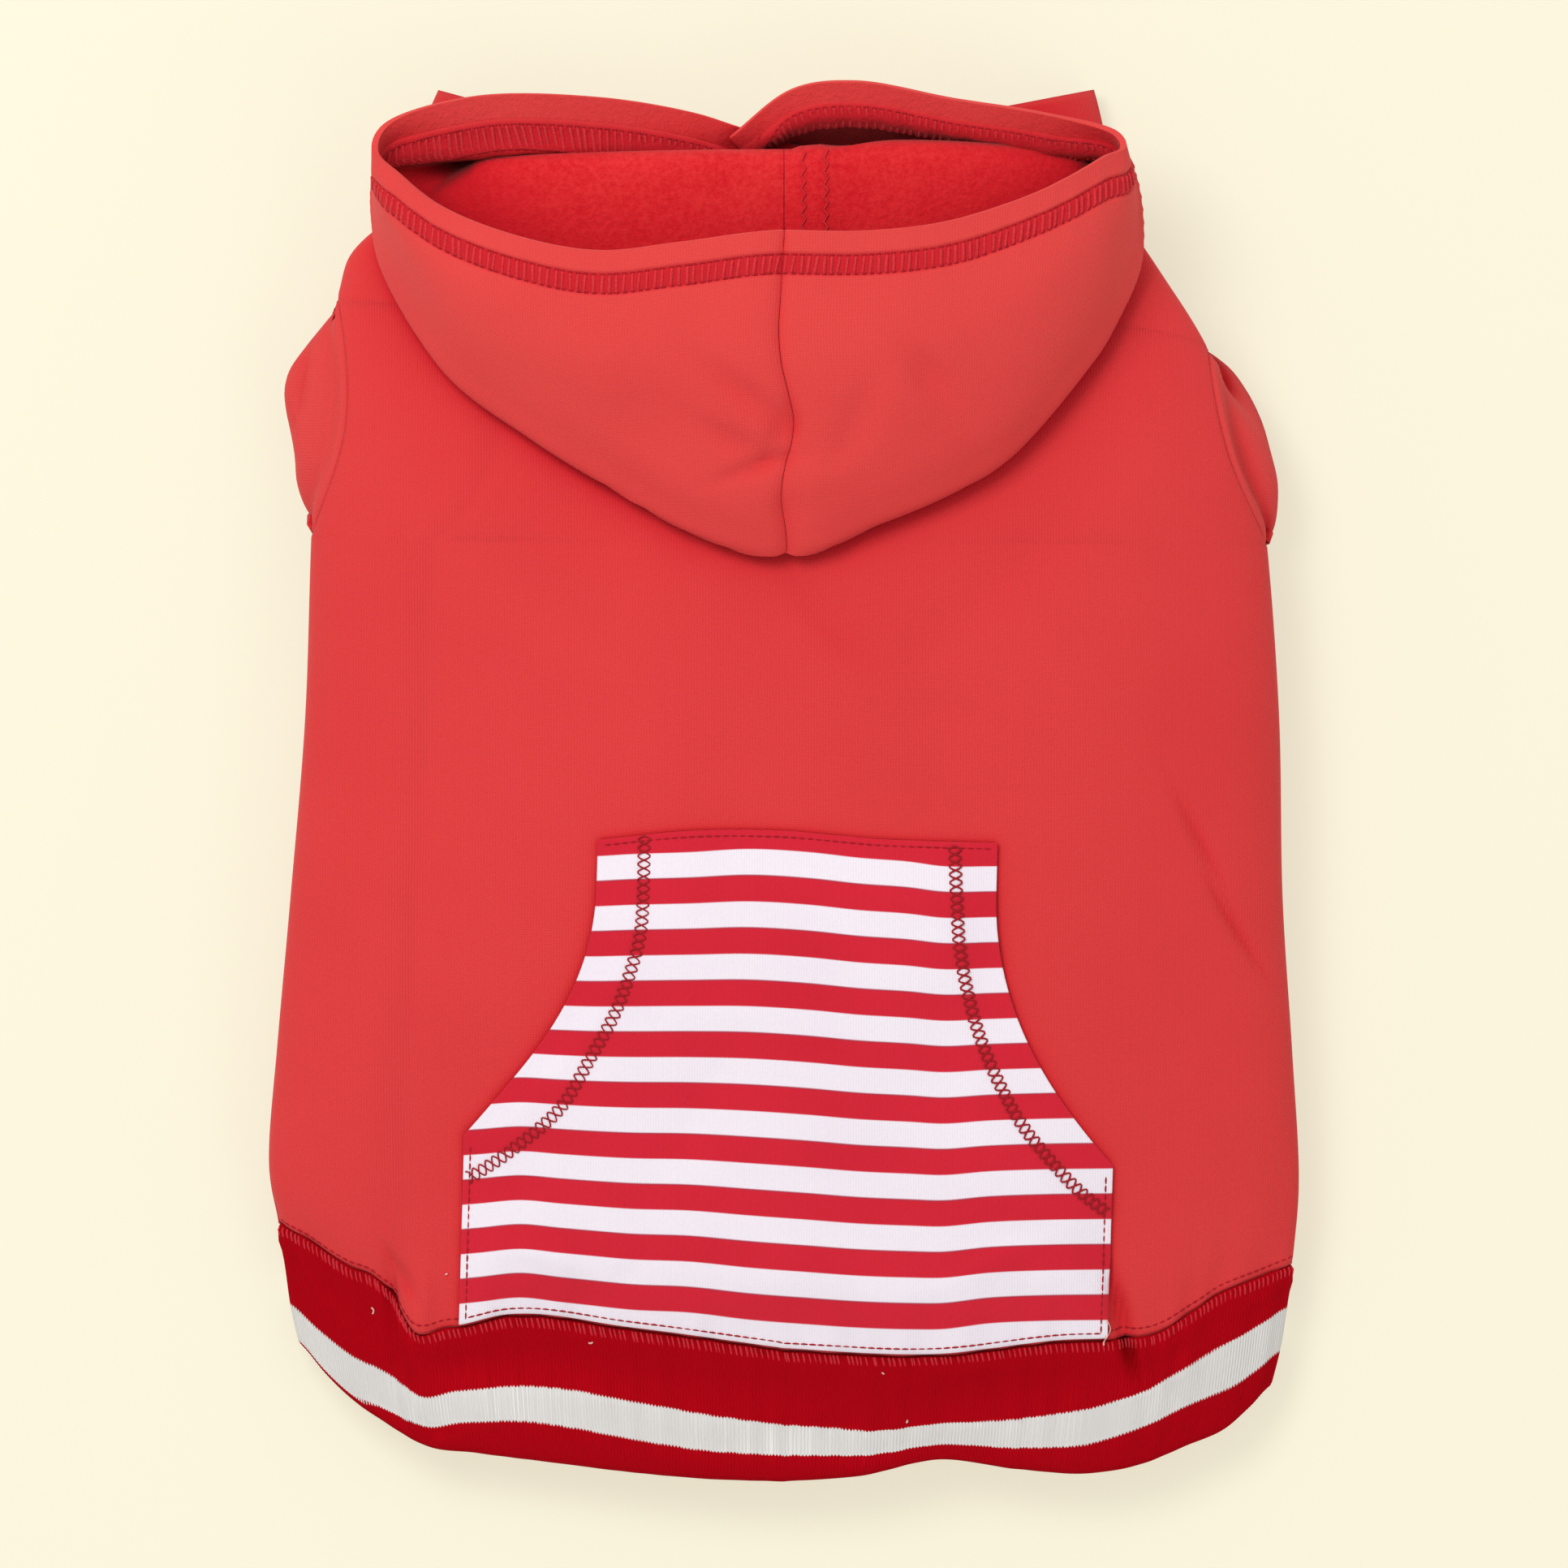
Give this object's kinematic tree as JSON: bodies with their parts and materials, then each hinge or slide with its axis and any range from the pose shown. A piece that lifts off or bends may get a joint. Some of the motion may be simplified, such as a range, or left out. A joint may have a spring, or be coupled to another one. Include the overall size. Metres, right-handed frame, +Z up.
{
  "type": "dog hoodie",
  "caption": "Red fleece dog hoodie lying belly down, hood folded back, short sleeves tucked under, striped kangaroo pocket and ribbed waistband.",
  "frame": {"origin": "centre of the footprint on the ground plane, z=0 where the belly and the folded sleeves rest", "axes": "+Z up away from the surface it lies on, +Y towards the head end, +X towards the right-hand side seen from above"},
  "size_m": [0.3176, 0.4324, 0.085],
  "materials": {
    "red_fleece": "soft brushed-back sweatshirt fleece, plain matt face",
    "hood_fleece": "the same fleece, brushed side showing inside the hood",
    "sleeve_fleece": "the same fleece, matt",
    "red_rib": "fine rib knit with one knitted-in white stripe",
    "striped_jersey": "thin smooth jersey, even white stripes on red"
  },
  "bodies": {
    "root": {"back_panel": "red_fleece", "belly_panel": "red_fleece", "waistband": "red_rib", "sleeve_left": "sleeve_fleece", "sleeve_right": "sleeve_fleece", "hood_left": "hood_fleece", "hood_right": "hood_fleece", "pocket": "striped_jersey"}
  },
  "joints": []
}
